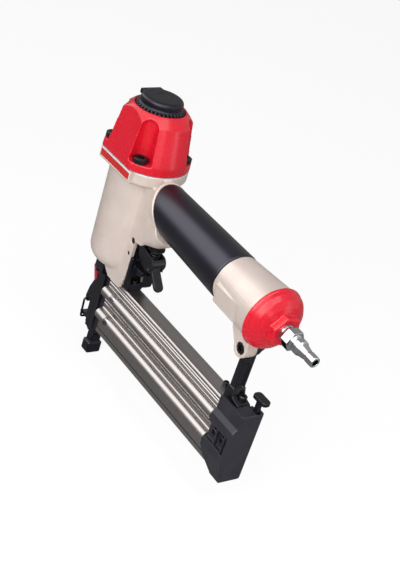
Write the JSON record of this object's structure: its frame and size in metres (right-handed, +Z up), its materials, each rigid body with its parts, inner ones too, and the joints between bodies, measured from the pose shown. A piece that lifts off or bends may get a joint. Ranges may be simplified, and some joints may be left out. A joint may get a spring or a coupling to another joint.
{
  "type": "pneumatic brad nailer",
  "caption": "Hand-held pneumatic brad nailer with a rubber grip on the handle, a side-opening magazine, a turning exhaust deflector, a trigger with a safety lever and a jam-clearing nose.",
  "frame": {"origin": "centre of the nail exit at the work face of the no-mar tip, on the drive axis", "axes": "+Z up the drive axis, +X back along the handle to the air plug, +Y to the user's right"},
  "size_m": [0.257, 0.057, 0.231],
  "materials": {
    "champagne_paint": "satin metallic paint on cast alloy",
    "red_paint": "gloss red paint on cast alloy",
    "grip_rubber": "smooth matte rubber",
    "seal_rubber": "black rubber",
    "black_plastic": "moulded black plastic",
    "red_plastic": "moulded red plastic",
    "label_red": "plain printed plate",
    "black_steel": "black finished steel",
    "gunmetal_aluminium": "anodised extrusion",
    "bare_aluminium": "machined alloy",
    "bright_chrome": "polished chrome plate",
    "steel": "bare steel",
    "valve_plastic": "natural acetal"
  },
  "bodies": {
    "tool_body": {"body_casting": "champagne_paint", "grip": "grip_rubber", "label_plate": "label_red", "cylinder_sleeve": "bare_aluminium", "cylinder_seals": "seal_rubber", "bumper": "seal_rubber", "cap_gasket": "seal_rubber", "cylinder_cap": "red_paint", "cap_screws": "black_steel", "deflector_screw": "steel", "air_inlet_cap": "red_paint", "inlet_cap_seal": "seal_rubber", "air_plug": "bright_chrome", "trigger_valve_body": "black_steel", "trigger_pin": "black_steel", "trigger_spring": "black_steel", "head_valve_spring": "steel", "trigger_bracket": "black_plastic", "bracket_pin": "black_steel", "bracket_screw": "black_steel", "driver_guide": "black_steel", "guide_screws": "black_steel", "door_pin": "black_steel", "no_mar_tip": "black_plastic", "fixed_magazine": "gunmetal_aluminium", "rear_strut": "black_steel", "strut_bolt": "black_steel", "strut_nut": "black_steel", "foot_screw": "black_steel", "magazine_screw": "black_steel"},
    "deflector": {"exhaust_deflector": "black_plastic", "deflector_plug": "black_plastic"},
    "head_valve": {"head_valve_piston": "valve_plastic", "head_valve_seal": "seal_rubber"},
    "drive_piston": {"piston": "bare_aluminium", "piston_ring": "seal_rubber", "driver_blade": "steel"},
    "trigger": {"trigger": "black_steel", "safety_pin": "steel"},
    "safety": {"safety_lever": "black_steel"},
    "stem": {"valve_stem": "steel"},
    "magazine": {"magazine_slide": "gunmetal_aluminium", "tie_rods": "bright_chrome", "magazine_end_cap": "black_plastic", "end_cap_screws": "black_steel", "release_pin": "steel", "release_spring": "steel"},
    "release": {"release_lever": "black_steel"},
    "pusher": {"nail_pusher": "steel", "pusher_spring": "steel"},
    "door": {"guide_door": "black_steel", "latch_pin": "black_steel"},
    "latch": {"latch_lever": "black_steel", "latch_tab": "red_plastic"},
    "bail": {"latch_bail": "steel"}
  },
  "joints": [
    {"name": "deflector_turn", "type": "hinge", "parent": "tool_body", "child": "deflector", "pos_m": [0, 0, 0.2255], "axis": [0, 0, 1], "continuous": true},
    {"name": "head_valve_lift", "type": "slide", "parent": "tool_body", "child": "head_valve", "axis": [0, 0, 1], "range_m": [0, 0.004], "stiffness_N_per_m": 800, "springref_m": -0.004, "deforming": ["head_valve_spring"]},
    {"name": "piston_stroke", "type": "slide", "parent": "tool_body", "child": "drive_piston", "axis": [0, 0, 1], "range_m": [-0.06, 0]},
    {"name": "trigger_pull", "type": "hinge", "parent": "tool_body", "child": "trigger", "pos_m": [0.0272, 0, 0.1234], "axis": [0, 1, 0], "range_deg": [-10, 0], "stiffness_Nm_per_rad": 0.6, "springref_deg": 8.59, "deforming": ["trigger_spring"]},
    {"name": "safety_swing", "type": "hinge", "parent": "trigger", "child": "safety", "pos_m": [0.0486, 0, 0.1106], "axis": [0, 1, 0], "range_deg": [0, 20], "stiffness_Nm_per_rad": 0.01, "springref_deg": -17.19},
    {"name": "stem_lift", "type": "slide", "parent": "tool_body", "child": "stem", "axis": [0, 0, 1], "range_m": [0, 0.0035]},
    {"name": "magazine_open", "type": "slide", "parent": "tool_body", "child": "magazine", "axis": [1, 0, 0], "range_m": [0, 0.11]},
    {"name": "release_press", "type": "hinge", "parent": "magazine", "child": "release", "pos_m": [0.1913, 0, 0.0745], "axis": [0, 1, 0], "range_deg": [0, 7], "stiffness_Nm_per_rad": 0.1, "springref_deg": -8.59},
    {"name": "pusher_travel", "type": "slide", "parent": "magazine", "child": "pusher", "axis": [1, 0, 0], "range_m": [0, 0.12], "stiffness_N_per_m": 30, "springref_m": -0.1},
    {"name": "door_open", "type": "hinge", "parent": "tool_body", "child": "door", "pos_m": [-0.0072, 0, 0.0734], "axis": [0, 1, 0], "range_deg": [0, 40]},
    {"name": "latch_lift", "type": "hinge", "parent": "door", "child": "latch", "pos_m": [-0.012, 0, 0.0435], "axis": [0, 1, 0], "range_deg": [-50, 0]},
    {"name": "bail_swing", "type": "hinge", "parent": "latch", "child": "bail", "pos_m": [-0.0176, 0, 0.04], "axis": [0, 1, 0], "range_deg": [0, 50]}
  ],
  "couplings": [
    {"joint": "stem_lift", "follows": "trigger_pull", "m_per_rad": -0.0185},
    {"joint": "latch_lift", "follows": "door_open", "ratio": -1.25},
    {"joint": "bail_swing", "follows": "door_open", "ratio": 1.25}
  ]
}
